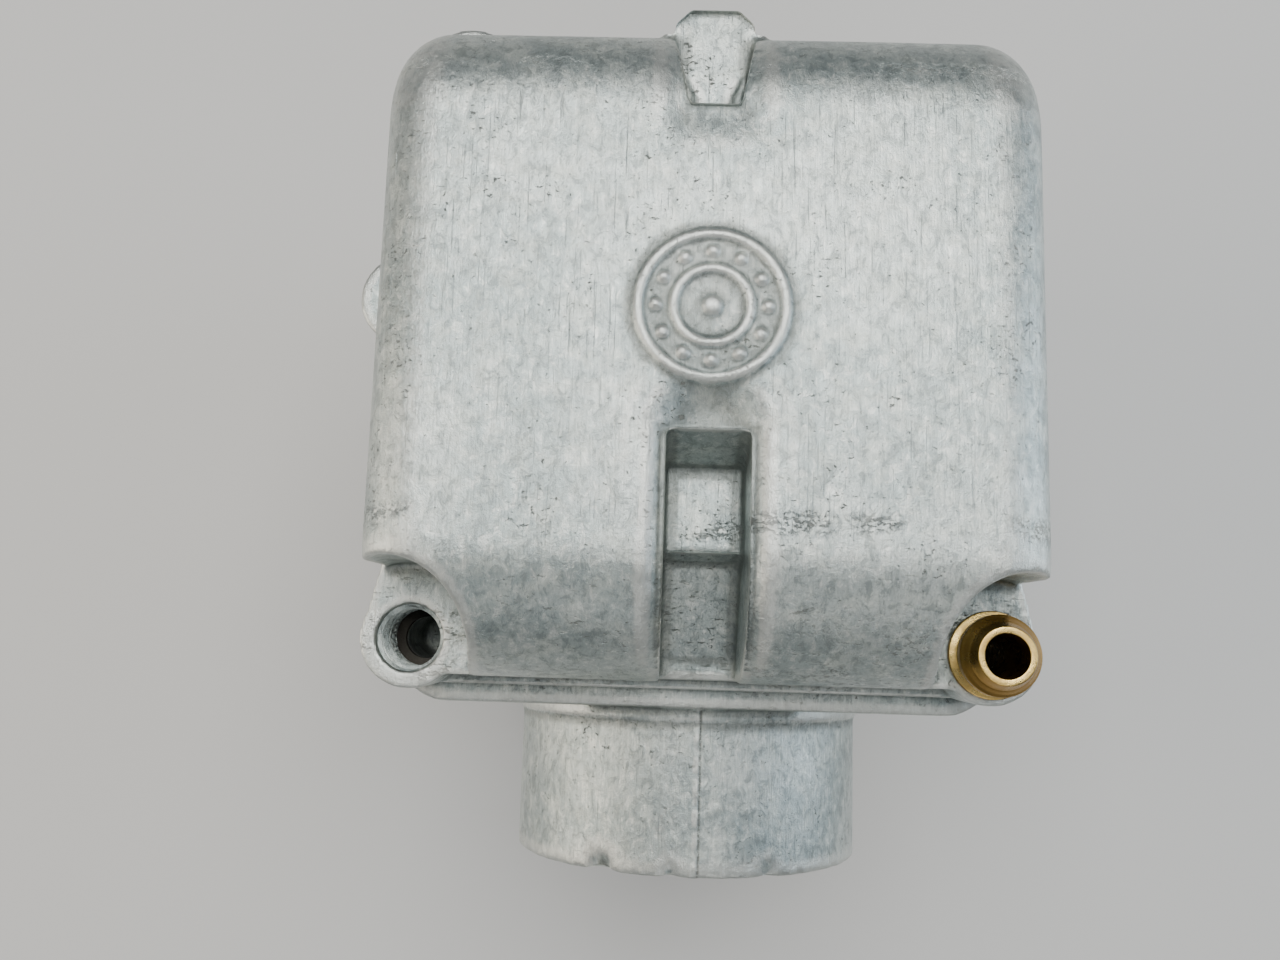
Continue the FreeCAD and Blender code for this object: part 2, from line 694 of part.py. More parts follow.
def make_throttle_lever():
    hub = rod("5.6", "2", ("31", "throttle_place", "0"), "X")
    arm_points = [
        ("throttle_place - 5", "0"), ("throttle_place - 3.4", "-18"),
        ("throttle_place", "-21"), ("throttle_place + 3.4", "-18"), ("throttle_place + 5", "0"),
    ]
    arm = slab(arm_points, "YZ_Plane", "2", ("31", "0", "0"))
    finger = block(("31", "throttle_place", "4.4"), ("33", "31.8", "9.6"))
    tang = block(("26.6", "30.2", "4.4"), ("31.5", "31.8", "9.6"))
    shaft_way = rod("shaft_radius", "4", ("30", "throttle_place", "0"), "X")
    cable_hole = rod("1.6", "4", ("30", "throttle_place", "-16.5"), "X")
    node("throttle_lever", cut(fuse(hub, arm, finger, tang), shaft_way, cable_hole))

    washer = rod("5.6", "1", ("33", "throttle_place", "0"), "X")
    washer_hole = rod("shaft_radius", "3", ("32", "throttle_place", "0"), "X")
    node("lever_washer", cut(washer, washer_hole))
    nut = hexagon("5.8", "3.2", ("34", "throttle_place", "0"), "X")
    nut_hole = rod("shaft_radius", "6", ("33", "throttle_place", "0"), "X")
    node("lever_nut", cut(nut, nut_hole))
    coil("return_spring", "return_wire", "return_coil", "return_pitch", 3,
         ("26.6", "throttle_place", "0"), "X")


def stop_at(y):
    return "stop_place_x", y, "stop_place_z"


def make_stop_screw():
    shank = rod("2.0", "18.2", stop_at("31.85"), "Y")
    head = rod("3.4", "3", stop_at("50"), "Y")
    slot = block(("stop_place_x - 0.5", "52", "stop_place_z - 4"),
                 ("stop_place_x + 0.5", "54", "stop_place_z + 4"))
    node("idle_stop_screw", cut(fuse(shank, head), slot))
    coil("stop_screw_spring", "stop_wire", "stop_coil", "stop_pitch", 5, stop_at("42.6"), "Y")


# ---- idle circuit and jets ----------------------------------------------

def make_mixture_screw():
    at = ("-40", "mixture_place_y", "5")
    pin = turned([
        ("0", "0"), ("3.2", "0"), ("3.2", "3"), ("2.0", "3"), ("2.0", "17"), ("1.0", "19"),
        ("0.4", "23"), ("0", "23"),
    ], at, "X")
    slot = block(("-41", "mixture_place_y - 0.5", "1"), ("-39", "mixture_place_y + 0.5", "9"))
    node("mixture_screw", cut(pin, slot))
    coil("mixture_spring", "mixture_wire", "mixture_coil", "mixture_pitch", 5,
         ("-36.5", "mixture_place_y", "5"), "X")


def make_jets():
    jet = turned([
        ("0.6", "20.4"), ("2.5", "20.4"), ("2.5", "29.2"), ("3.6", "29.2"), ("3.6", "31.4"),
        ("0.6", "31.4"),
    ], ("0", "idle_jet_place", "0"))
    jet_slot = block(("-4", "idle_jet_place - 0.4", "30.2"), ("4", "idle_jet_place + 0.4", "32"))
    node("idle_jet", cut(jet, jet_slot))

    tube = turned([
        ("1.4", "16.4"), ("3.0", "16.4"), ("3.0", "30.2"), ("4.4", "30.2"), ("4.4", "33.2"),
        ("3.0", "33.2"), ("3.0", "41.8"), ("1.4", "41.8"),
    ], PISTON)
    air_holes = [rod("0.5", "8", ("-4", "piston_place", height), "X")
                 for height in ("35", "37.5", "40")]
    node("mixing_tube", cut(tube, *air_holes))

    head = hexagon("3.8", "2.4", ("0", "piston_place", "41.8"))
    node("main_jet", cut(head, rod("0.7", "4", ("0", "piston_place", "41"))))


# ---- fuel inlet, needle valve and floats --------------------------------

NEEDLE = ("needle_place_x", "needle_place_y", "0")


def make_needle_valve():
    node("needle_seat", turned([
        ("1.0", "18.4"), ("3.6", "18.4"), ("3.6", "25.2"), ("4.8", "25.2"), ("4.8", "26.2"),
        ("2.06", "26.2"), ("2.06", "21"), ("1.0", "20.2"),
    ], NEEDLE))
    node("inlet_needle", turned([
        ("0", "20.6"), ("0.6", "20.6"), ("2.0", "22.2"), ("2.0", "27.4"), ("0.8", "27.6"),
        ("0.8", "28.55"), ("0", "28.55"),
    ], NEEDLE))


def make_floats():
    leaf = block(("-24", "float_rear", "28.6"), ("24", "82", "29.6"))
    tongue = block(("-7.2", "81", "28.6"), ("7.2", "hinge_place_y", "29.6"))
    hinge_at = ("-7.2", "hinge_place_y", "hinge_place_z")
    barrel = rod("2.3", "14.4", hinge_at, "X")
    pin_way = rod("hinge_pin_radius + 0.05", "30", ("-15", "hinge_place_y", "hinge_place_z"), "X")
    node("float_arm", cut(fuse(leaf, tongue, barrel), pin_way))
    node("float_pin", rod("hinge_pin_radius", "22", ("-11", "hinge_place_y", "hinge_place_z"), "X"))

    pontoons = []
    for low_x, high_x in (("-28.5", "-8.5"), ("8.5", "28.5")):
        pontoon = rounded_slab((low_x, "float_front", "float_bottom"),
                               (high_x, "float_rear", "float_top"), "3")
        top = number("float_top - float_bottom") - 0.1
        pontoons.append(soften(pontoon, "1.5", lambda box: box.ZMin > top))
    node("floats", group(*pontoons))


def make_nipples():
    node("hose_nipple", turned([
        ("2.3", "25"), ("2.98", "25"), ("2.98", "lug_top"), ("4.65", "lug_top"),
        ("4.65", "lug_top + 0.8"), ("3.7", "lug_top + 2.6"), ("4.25", "lug_top + 2.6"),
        ("4.25", "lug_top + 3.6"), ("2.95", "lug_top + 5.8"), ("2.3", "lug_top + 5.8"),
    ], ("lug_place_x", "lug_place_y", "0")))
    node("fuel_inlet_nipple", turned([
        ("1.6", "0"), ("2.58", "0"), ("2.58", "6"), ("4.4", "6"), ("4.4", "7.5"), ("3.2", "7.5"),
        ("3.2", "18.5"), ("2.6", "19.5"), ("1.6", "19.5"),
    ], ("22", "needle_place_y", "14"), "X"))


# ---- cold starter -------------------------------------------------------

def make_starter():
    disc = starter_rod("9.5", "1.8", "-24.95")
    stem = starter_rod("3", "13.1", "-38")
    mixture_port = starter_rod("1.5", "4", "-26", 5, 3)
    node("starter_disc", cut(fuse(disc, stem), mixture_port))
    holes = [starter_rod("1.6", "6", "-30", across, up) for across, up in STARTER_SCREWS]
    node("starter_gasket", cut(starter_rod("15", "0.5", "-25.5"), starter_rod("9.7", "2", "-26"),
                               *holes))
    node("starter_cover", cut(starter_rod("15", "4", "-29.5"), starter_rod("3.05", "6", "-30"),
                              *holes))
    screws = []
    for across, up in STARTER_SCREWS:
        shank = starter_rod("1.5", "9", "-29.5", across, up)
        head = starter_rod("2.6", "2", "-31.5", across, up)
        screws.append(fuse(shank, head))
    node("starter_screws", group(*screws))

    hub = starter_rod("5.2", "1.5", "-33.5")
    arm_points = [("57", "-8.4"), ("61", "-9"), ("61", "1"), ("57", "0.4"), ("42", "-1"),
                  ("40", "-4"), ("42", "-7")]
    arm = slab(arm_points, "YZ_Plane", "1.5", ("-33.5", "0", "0"))
    node("starter_lever", cut(fuse(hub, arm), starter_rod("3", "4", "-35"),
                              starter_rod("1.4", "4", "-35", -18, 0)))
    nut = hexagon("5", "2.8", ("-36.3", STARTER_PLACE[0], STARTER_PLACE[1]), "X")
    node("starter_nut", cut(nut, starter_rod("3", "5", "-37")))


def save_all():
    doc.recompute()
    os.makedirs("parts", exist_ok=True)
    for thing in doc.Objects:
        for word in ("Invalid", "Error"):
            if word in thing.State:
                raise SystemExit(f"{thing.Name} ({thing.Label}) is {thing.State}")
    for name, piece in nodes:
        shape = piece.Shape
        if shape.isNull() or not shape.isValid() or not shape.Solids:
            raise SystemExit(f"{name} has no valid solid")
        shape.exportStep(f"parts/{name}.step")
        print(name, len(shape.Solids), round(shape.Volume, 1))


make_float_bowl()
make_bowl_gasket()
make_bowl_screws()
make_carb_body()
make_vacuum_piston()
make_jet_needle()
make_diaphragm()
make_chamber_cover()
make_cover_screws()
coil("piston_spring", "piston_wire", "piston_coil", "piston_pitch", 10,
     ("0", "piston_place", "-57.9"))
make_throttle()
make_throttle_lever()
make_stop_screw()
make_mixture_screw()
make_jets()
make_needle_valve()
make_floats()
make_nipples()
make_starter()
save_all()
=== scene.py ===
import json
import math

import bmesh
import bpy
import numpy as np
from mathutils import Euler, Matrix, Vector


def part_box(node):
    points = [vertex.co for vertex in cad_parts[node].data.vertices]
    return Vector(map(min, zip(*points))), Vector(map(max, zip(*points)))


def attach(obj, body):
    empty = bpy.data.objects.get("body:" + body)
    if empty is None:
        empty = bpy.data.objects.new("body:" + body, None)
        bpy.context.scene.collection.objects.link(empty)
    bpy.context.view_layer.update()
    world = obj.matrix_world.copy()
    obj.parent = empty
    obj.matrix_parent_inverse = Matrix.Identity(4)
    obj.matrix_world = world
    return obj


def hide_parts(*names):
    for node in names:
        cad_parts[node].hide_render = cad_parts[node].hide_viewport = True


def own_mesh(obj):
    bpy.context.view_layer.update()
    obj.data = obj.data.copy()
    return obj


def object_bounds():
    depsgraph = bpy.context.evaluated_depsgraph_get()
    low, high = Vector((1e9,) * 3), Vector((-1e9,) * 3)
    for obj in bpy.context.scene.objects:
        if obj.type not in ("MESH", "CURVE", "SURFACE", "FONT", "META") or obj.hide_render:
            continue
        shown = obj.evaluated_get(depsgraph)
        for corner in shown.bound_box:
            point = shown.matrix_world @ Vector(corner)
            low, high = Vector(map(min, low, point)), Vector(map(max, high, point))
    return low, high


# Looks for the float carburettor.  Lengths are metres in the CAD frame: +Y runs
# along the bore from the engine spigot, +Z points to the bowl's flat face.

MM = 0.001

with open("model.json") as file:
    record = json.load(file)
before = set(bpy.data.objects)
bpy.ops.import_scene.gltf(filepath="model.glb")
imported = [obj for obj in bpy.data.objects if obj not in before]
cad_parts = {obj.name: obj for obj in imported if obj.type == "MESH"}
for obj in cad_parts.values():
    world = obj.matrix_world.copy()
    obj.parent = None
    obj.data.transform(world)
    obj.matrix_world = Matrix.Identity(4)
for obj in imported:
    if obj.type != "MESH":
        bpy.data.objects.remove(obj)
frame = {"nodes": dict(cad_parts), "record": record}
cad_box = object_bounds()
nodes = frame["nodes"]

bowl_low, bowl_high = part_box("float_bowl")
nipple_low, nipple_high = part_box("hose_nipple")

BOWL_TOP = bowl_high.z
BOWL_JOINT = bowl_low.z
FLAT_REAR = 80.0 * MM           # where the bowl's flat face ends, behind
SHELF_Y = 47.5 * MM             # where the channel's lead-in starts
CHANNEL_HALF = 4.1 * MM
SPIGOT_RADIUS = 22.0 * MM
NIPPLE_AT = (nipple_low + nipple_high) / 2
PORT_AT = Vector((-NIPPLE_AT.x, NIPPLE_AT.y, BOWL_JOINT))
PORT_RADIUS = 3.4 * MM
PORT_DEPTH = 7.5 * MM
DIAL_AT = Vector((0.0, 59.0 * MM, BOWL_TOP))
DIAL_RADIUS = 7.2 * MM
DIAL_HEIGHT = 0.55 * MM
MONTHS = 12
SUNK = -0.5 * MM                # how deep a raised mark's foot stands in the face
WEB_FOOT = 34 * MM
WEB_TOP = BOWL_TOP - 6.5 * MM
FLASH_X = 0.5 * MM              # the die's parting line along the spigot
FLASH_SHADOW_X = 0.9 * MM
FLOOR_HALF = 3.0
LIT_POINT = Vector((0, 55 * MM, 10 * MM))


# ---- meshes ---------------------------------------------------------------

def add_object(name, mesh):
    piece = bpy.data.objects.new(name, mesh)
    bpy.context.scene.collection.objects.link(piece)
    return piece


def shade_smooth(mesh, angle=40):
    """Smooth shading that keeps edges sharper than an angle in degrees."""
    mesh.polygons.foreach_set("use_smooth", [True] * len(mesh.polygons))
    mesh.set_sharp_from_angle(angle=math.radians(angle))


def apply_modifiers(piece):
    graph = bpy.context.evaluated_depsgraph_get()
    mesh = bpy.data.meshes.new_from_object(piece.evaluated_get(graph))
    piece.modifiers.clear()
    piece.data = mesh


def points_of(mesh):
    points = np.zeros(len(mesh.vertices) * 3)
    mesh.vertices.foreach_get("co", points)
    return points.reshape(-1, 3)


def normals_of(mesh):
    normals = np.zeros(len(mesh.vertices) * 3)
    mesh.vertex_normals.foreach_get("vector", normals)
    return normals.reshape(-1, 3)


def move_points(mesh, points):
    mesh.vertices.foreach_set("co", points.ravel())
    mesh.update()


def smooth_step(value, low, high):
    share = np.clip((value - low) / (high - low), 0, 1)
    return share * share * (3 - 2 * share)


def lathe(profile, centre, axis, segments=96):
    """Closed mesh turned about an axis from (radius, height) points in order."""
    turned = bmesh.new()
    turn = Vector((0, 0, 1)).rotation_difference(Vector(axis))
    rings = []
    for radius, height in profile:
        if radius < 1e-7:
            rings.append([turned.verts.new((0, 0, height))])
            continue
        step = 2 * math.pi / segments
        rings.append([
            turned.verts.new((radius * math.cos(i * step), radius * math.sin(i * step), height))
            for i in range(segments)])
    open_ended = len(rings[0]) == 1
    pairs = zip(rings[:-1], rings[1:]) if open_ended else zip(rings, rings[1:] + rings[:1])
    for low, high in pairs:
        for i in range(segments):
            j = (i + 1) % segments
            corners = [low[i % len(low)], low[j % len(low)],
                       high[j % len(high)], high[i % len(high)]]
            face = [vert for k, vert in enumerate(corners) if vert not in corners[:k]]
            turned.faces.new(face)
    for vert in turned.verts:
        vert.co = turn @ vert.co + Vector(centre)
    bmesh.ops.recalc_face_normals(turned, faces=turned.faces)
    mesh = bpy.data.meshes.new("turned")
    turned.to_mesh(mesh)
    turned.free()
    return mesh


def rounded(profile, radius, steps=4, closed=True):
    """Profile with each corner rounded by a small radius."""
    result = []
    count = len(profile)
    for i, here in enumerate(profile):
        here = Vector(here)
        if not closed and i in (0, count - 1):
            result.append(tuple(here))
            continue
        before, after = Vector(profile[i - 1]), Vector(profile[(i + 1) % count])
        back, ahead = before - here, after - here
        reach = min(radius, back.length * 0.45, ahead.length * 0.45)
        start, end = here + back.normalized() * reach, here + ahead.normalized() * reach
        for k in range(steps + 1):
            t = k / steps
            point = start * (1 - t) ** 2 + here * (2 * t * (1 - t)) + end * t * t
            result.append(tuple(point))
    return result


def cast_copy(node, name, voxel, passes, extras=()):
    """Copy of a CAD casting with rounded edges and corners, as one skin."""
    whole = bmesh.new()
    whole.from_mesh(nodes[node].data)
    for mesh in extras:
        whole.from_mesh(mesh)
    bmesh.ops.remove_doubles(whole, verts=whole.verts, dist=0.0005 * MM)
    mesh = bpy.data.meshes.new(name)
    whole.to_mesh(mesh)
    whole.free()
    piece = add_object(name, mesh)
    remesh = piece.modifiers.new("skin", "REMESH")
    remesh.mode = "VOXEL"
    remesh.voxel_size = voxel
    soft = piece.modifiers.new("soft", "SMOOTH")
    soft.factor = 0.5
    soft.iterations = passes
    apply_modifiers(piece)
    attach(piece, "housing")
    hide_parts(node)
    return piece


def mark_edges(piece, passes=10, reach=0.06 * MM):
    """Store how far each point stands proud of, or sinks below, the skin around it; the sunk measure
    drives painted shade in the recesses.
    """
    mesh = piece.data
    points = points_of(mesh)
    ends = np.zeros(len(mesh.edges) * 2, int)
    mesh.edges.foreach_get("vertices", ends)
    first, second = ends.reshape(-1, 2).T
    count = np.bincount(first, minlength=len(points)) + np.bincount(second, minlength=len(points))
    smooth = points.copy()
    for _ in range(passes):
        total = np.zeros_like(smooth)
        for axis in range(3):
            total[:, axis] = np.bincount(first, smooth[second, axis], len(points))
            total[:, axis] += np.bincount(second, smooth[first, axis], len(points))
        smooth = total / count[:, None]
    proud = np.einsum("ij,ij->i", points - smooth, normals_of(mesh)) / reach
    for name, value in (("edge", proud), ("recess_shade", -proud)):
        layer = mesh.attributes.new(name, "FLOAT", "POINT")
        layer.data.foreach_set("value", np.clip(value, 0, 1).astype(np.float32))


# ---- material nodes ---------------------------------------------------------

class Finish:
    """A material, built up from short calls on its node tree."""

    def __init__(self, name):
        self.material = bpy.data.materials.new(name)
        self.material.use_nodes = True
        self.tree = self.material.node_tree
        self.shader = self.tree.nodes["Principled BSDF"]
        self.place = self.node("ShaderNodeTexCoord").outputs["Object"]

    def node(self, kind, **settings):
        made = self.tree.nodes.new(kind)
        for key, value in settings.items():
            setattr(made, key, value)
        return made

    def link(self, value, socket):
        if isinstance(value, bpy.types.NodeSocket):
            self.tree.links.new(value, socket)
        elif value is not None:
            socket.default_value = value

    def math(self, operation, first, second=None):
        made = self.node("ShaderNodeMath", operation=operation)
        self.link(first, made.inputs[0])
        self.link(second, made.inputs[1])
        return made.outputs[0]

    def stretched(self, scale, turn=(0, 0, 0)):
        """Object coordinates in millimetres, turned and scaled per axis."""
        made = self.node("ShaderNodeMapping")
        made.inputs["Rotation"].default_value = [math.radians(angle) for angle in turn]
        made.inputs["Scale"].default_value = [value / MM for value in scale]
        self.link(self.place, made.inputs["Vector"])
        return made.outputs[0]

    def noise(self, scale, detail=4.0, rough=0.55, turn=(0, 0, 0), warp=0.0):
        scale = (scale, scale, scale) if isinstance(scale, (int, float)) else scale
        made = self.node("ShaderNodeTexNoise")
        self.link(self.stretched(scale, turn), made.inputs["Vector"])
        made.inputs["Scale"].default_value = 1.0
        made.inputs["Detail"].default_value = detail
        made.inputs["Roughness"].default_value = rough
        made.inputs["Distortion"].default_value = warp
        return made.outputs["Fac"]

    def span(self, value, low, high, start=0.0, end=1.0):
        """Smooth ramp from start to end as a value goes from low to high."""
        made = self.node("ShaderNodeMapRange", interpolation_type="SMOOTHSTEP")
        self.link(value, made.inputs["Value"])
        made.inputs["From Min"].default_value = low
        made.inputs["From Max"].default_value = high
        made.inputs["To Min"].default_value = start
        made.inputs["To Max"].default_value = end
        return made.outputs[0]

    def stored(self, name):
        return self.node("ShaderNodeAttribute", attribute_name=name).outputs["Fac"]

    def axis(self, letter):
        made = self.node("ShaderNodeSeparateXYZ")
        self.link(self.place, made.inputs[0])
        return made.outputs[letter]

    def near(self, letter, centre, width):
        """1 on a plane across an axis, falling to 0 at a distance from it."""
        away = self.math("ABSOLUTE", self.math("SUBTRACT", self.axis(letter), centre))
        return self.span(away, 0.0, width, 1.0, 0.0)

    def blend(self, share, first, second):
        made = self.node("ShaderNodeMix", data_type="RGBA")
        self.link(share, made.inputs["Factor"])
        for socket, value in (("A", first), ("B", second)):
            target = [item for item in made.inputs if item.name == socket and item.type == "RGBA"][0]
            self.link((*value, 1.0) if isinstance(value, tuple) else value, target)
        return [item for item in made.outputs if item.type == "RGBA"][0]

    def all_of(self, *values):
        result = values[0]
        for value in values[1:]:
            result = self.math("MULTIPLY", result, value)
        return result

    def sum_of(self, *values):
        result = values[0]
        for value in values[1:]:
            result = self.math("ADD", result, value)
        return result

    def bump(self, height, depth, strength=1.0):
        made = self.node("ShaderNodeBump")
        made.inputs["Strength"].default_value = strength
        made.inputs["Distance"].default_value = depth
        self.link(height, made.inputs["Height"])
        self.link(made.outputs[0], self.shader.inputs["Normal"])

    def finish(self, colour, metallic, roughness):
        for name, value in (("Base Color", colour), ("Metallic", metallic), ("Roughness", roughness)):
            value = (*value, 1.0) if isinstance(value, tuple) else value
            self.link(value, self.shader.inputs[name])
        return self.material


def streaks(finish, turn, density, scale=(5.0, 0.09, 5.0)):
    """Thin scratches lying along one direction."""
    lines = finish.noise(scale, detail=2.0, rough=0.4, turn=turn)
    gaps = finish.noise(0.22, detail=1.0, turn=turn)
    return finish.all_of(finish.span(lines, 0.70 - density, 0.74 - density),
                         finish.span(gaps, 0.42, 0.62))


def cast_zinc():
    """Grey die-cast zinc, tumbled and handled: fine brushing, scratches, dark specks, worn edges,
    painted shade in the recesses and a painted shadow line beside the spigot's parting-line ridge.
    """
    finish = Finish("cast_zinc")
    cloud = finish.noise(0.07, detail=5.0, warp=0.6)
    patch = finish.noise(0.35, detail=6.0, rough=0.7)
    mottle = finish.noise((0.9, 0.6, 0.9), detail=8.0, rough=0.74, warp=0.5)
    grain = finish.noise(6.0, detail=3.0, rough=0.7)
    brushed = finish.noise((4.5, 0.35, 4.5), detail=4.0, rough=0.65)
    colour = finish.blend(finish.span(cloud, 0.35, 0.65), (0.36, 0.42, 0.415), (0.53, 0.58, 0.56))
    colour = finish.blend(finish.span(patch, 0.42, 0.68, 0.0, 0.6), colour, (0.66, 0.70, 0.64))
    colour = finish.blend(finish.span(mottle, 0.50, 0.60, 0.0, 0.6), colour, (0.21, 0.24, 0.235))
    colour = finish.blend(finish.span(mottle, 0.47, 0.37, 0.0, 0.55), colour, (0.78, 0.80, 0.75))
    colour = finish.blend(finish.span(brushed, 0.40, 0.7, 0.0, 0.35), colour, (0.25, 0.29, 0.29))

    front_band = finish.near("Y", 38.0 * MM, 1.6 * MM)
    rear_band = finish.near("Y", 84.5 * MM, 1.2 * MM)
    foot_band = finish.near("Y", 25.5 * MM, 8.0 * MM)
    bands = finish.math("MAXIMUM", front_band, finish.math("MAXIMUM", rear_band, foot_band))
    groups = finish.span(finish.noise(0.09, detail=2.0), 0.48, 0.60)
    speck_noise = finish.noise((1.5, 2.4, 1.5), detail=7.0, rough=0.75)
    in_band = finish.all_of(bands, groups, finish.span(speck_noise, 0.50, 0.58))
    loose = finish.noise((1.3, 1.9, 1.3), detail=8.0, rough=0.72, warp=0.3)
    sparse = finish.span(finish.noise(0.12, detail=3.0), 0.50, 0.66, 0.035, -0.02)
    speck = finish.span(finish.math("SUBTRACT", loose, sparse), 0.595, 0.635)
    smear_noise = finish.noise((0.45, 1.5, 1.5), detail=6.0, rough=0.7)
    smear = finish.all_of(finish.near("Y", 28.0 * MM, 10.0 * MM),
                          finish.span(smear_noise, 0.60, 0.66))
    speck = finish.math("MAXIMUM", finish.math("MAXIMUM", in_band, smear), speck)
    colour = finish.blend(finish.all_of(speck, 0.75), colour, (0.085, 0.09, 0.08))

    scratch = streaks(finish, (0, 0, 24), 0.0)
    for turn in (-38, 83):
        scratch = finish.math("MAXIMUM", scratch, streaks(finish, (0, 0, turn), 0.01))
    colour = finish.blend(finish.all_of(scratch, 0.6), colour, (0.22, 0.25, 0.25))

    edge = finish.all_of(finish.stored("edge"), finish.noise(1.2, detail=4.0))
    # Painted shade: points sunk below the skin around them are darkened, standing in for the shade
    # that falls in recesses.
    recess_shade = finish.stored("recess_shade")
    colour = finish.blend(finish.span(edge, 0.08, 0.4, 0.0, 0.6), colour, (0.68, 0.69, 0.65))
    colour = finish.blend(finish.span(recess_shade, 0.15, 1.0, 0.0, 0.45), colour, (0.15, 0.155, 0.14))

    # Painted shadow: a dark ragged line on the shaded side of the parting-line ridge along the spigot.
    flash_shadow_line = finish.near("X", FLASH_SHADOW_X, 0.28 * MM)
    on_spigot = finish.all_of(finish.span(finish.axis("Y"), 19.5 * MM, 18.5 * MM),
                              finish.span(finish.noise(1.1, detail=5.0, rough=0.8), 0.36, 0.55))
    flash_shadow_line = finish.all_of(flash_shadow_line, on_spigot)
    colour = finish.blend(finish.all_of(flash_shadow_line, 0.75), colour, (0.09, 0.09, 0.08))

    rough = finish.sum_of(finish.span(patch, 0.3, 0.7, 0.24, 0.38), finish.all_of(brushed, 0.08),
                          finish.all_of(speck, 0.25), finish.all_of(recess_shade, 0.12))
    height = finish.sum_of(finish.all_of(grain, 0.5), finish.all_of(brushed, 0.8),
                           finish.all_of(scratch, -0.9), finish.all_of(speck, -1.2),
                           finish.all_of(patch, 0.8), finish.all_of(mottle, 2.2),
                           finish.all_of(flash_shadow_line, -1.5))
    finish.bump(height, 0.05 * MM)
    metallic = finish.math("SUBTRACT", 0.88, finish.all_of(speck, 0.6))
    return finish.finish(colour, metallic, rough)


def machined(name, bright, dark, roughness, lines=6.0, tarnish=0.35, fleck=0.66, side_shade=None):
    """Turned or stamped metal: fine tool lines, tarnish in patches and small dark flecks.

    With a shade colour given, faces that don't look straight up take that colour: painted shade for
    the weaker light on the flanks."""
    finish = Finish(name)
    patch = finish.noise(0.5, detail=6.0, rough=0.7, warp=0.4)
    fine = finish.noise((lines, lines, lines * 0.25), detail=3.0, rough=0.6)
    specks = finish.span(finish.noise(1.6, detail=5.0, rough=0.8), fleck, fleck + 0.06)
    shade = tuple(value * 0.35 for value in dark)
    colour = finish.blend(finish.span(patch, 0.38, 0.68, 0.0, tarnish), bright, dark)
    colour = finish.blend(finish.span(fine, 0.4, 0.75, 0.0, 0.3), colour, dark)
    # Painted shade: darker colour on faces that tilt away from straight up.
    if side_shade:
        side_shade_share = finish.span(finish.stored("upright"), 0.75, 0.97, 0.85, 0.0)
        colour = finish.blend(side_shade_share, colour, side_shade)
    colour = finish.blend(finish.all_of(specks, 0.7), colour, shade)
    rough = finish.sum_of(finish.span(patch, 0.3, 0.7, roughness, roughness + 0.14),
                          finish.all_of(fine, 0.06), finish.all_of(specks, 0.2))
    finish.bump(finish.sum_of(fine, finish.all_of(patch, 0.7), finish.all_of(specks, -0.8)), 0.02 * MM)
    return finish.finish(colour, 1.0, rough)


def moulded(name, light, dark, roughness, grain, depth, fleck=0.68):
    """Plastic, rubber, paper or foam: mottled colour, a fine skin texture and dust."""
    finish = Finish(name)
    cloud = finish.noise(0.15, detail=5.0, warp=0.5)
    skin = finish.noise(grain, detail=5.0, rough=0.7)
    dust = finish.span(finish.noise(1.1, detail=6.0, rough=0.8), fleck, fleck + 0.08)
    colour = finish.blend(finish.span(cloud, 0.35, 0.65), dark, light)
    colour = finish.blend(finish.span(skin, 0.35, 0.7, 0.0, 0.4), colour, dark)
    dusty = tuple(min(1.0, value * 1.6 + 0.03) for value in light)
    colour = finish.blend(finish.all_of(dust, 0.5), colour, dusty)
    rough = finish.sum_of(finish.span(skin, 0.3, 0.7, roughness - 0.06, roughness + 0.08),
                          finish.all_of(dust, 0.12))
    finish.bump(finish.sum_of(skin, finish.all_of(cloud, 0.5)), depth)
    return finish.finish(colour, 0.0, rough)


# ---- castings ---------------------------------------------------------------

def ring_mesh(centre, radius, half_width, height):
    """Raised ring with a rounded crest, sunk a little into the face it stands on."""
    profile = [(radius - half_width, SUNK), (radius + half_width, SUNK),
               (radius + half_width, height), (radius - half_width, height)]
    return lathe(rounded(profile, half_width * 0.8), centre, (0, 0, 1), 128)


def peg_mesh(centre, radius, height):
    profile = [(0, SUNK), (radius, SUNK), (radius, height), (0, height)]
    return lathe(rounded(profile, radius * 0.5, closed=False), centre, (0, 0, 1), 24)


def date_dial():
    """Generic casting date dial: two rings, twelve month dots and a centre boss."""
    parts = [ring_mesh(DIAL_AT, DIAL_RADIUS, 0.4 * MM, DIAL_HEIGHT),
             ring_mesh(DIAL_AT, DIAL_RADIUS * 0.52, 0.35 * MM, DIAL_HEIGHT),
             peg_mesh(DIAL_AT, 0.9 * MM, DIAL_HEIGHT)]
    for month in range(MONTHS):
        angle = math.tau * month / MONTHS
        reach = DIAL_RADIUS * 0.76
        at = DIAL_AT + Vector((math.cos(angle), math.sin(angle), 0)) * reach
        parts.append(peg_mesh(at, 0.5 * MM, DIAL_HEIGHT))
    return parts


def prism_mesh(outline, low, high):
    """Upright prism from (x, y) points listed anticlockwise."""
    made = bmesh.new()
    bottom = [made.verts.new((x, y, low)) for x, y in outline]
    top = [made.verts.new((x, y, high)) for x, y in outline]
    made.faces.new(list(reversed(bottom)))
    made.faces.new(top)
    for i in range(len(outline)):
        j = (i + 1) % len(outline)
        made.faces.new((bottom[i], bottom[j], top[j], top[i]))
    mesh = bpy.data.meshes.new("prism")
    made.to_mesh(mesh)
    made.free()
    return mesh


def tongue_web():
    """Cast web that fills the notch beside the tongue's neck, a little below its face."""
    outline = [(-3.2, 79.0), (3.2, 79.0), (5.6, 91.0), (-5.6, 91.0)]
    return prism_mesh([(x * MM, y * MM) for x, y in outline], WEB_FOOT, WEB_TOP)


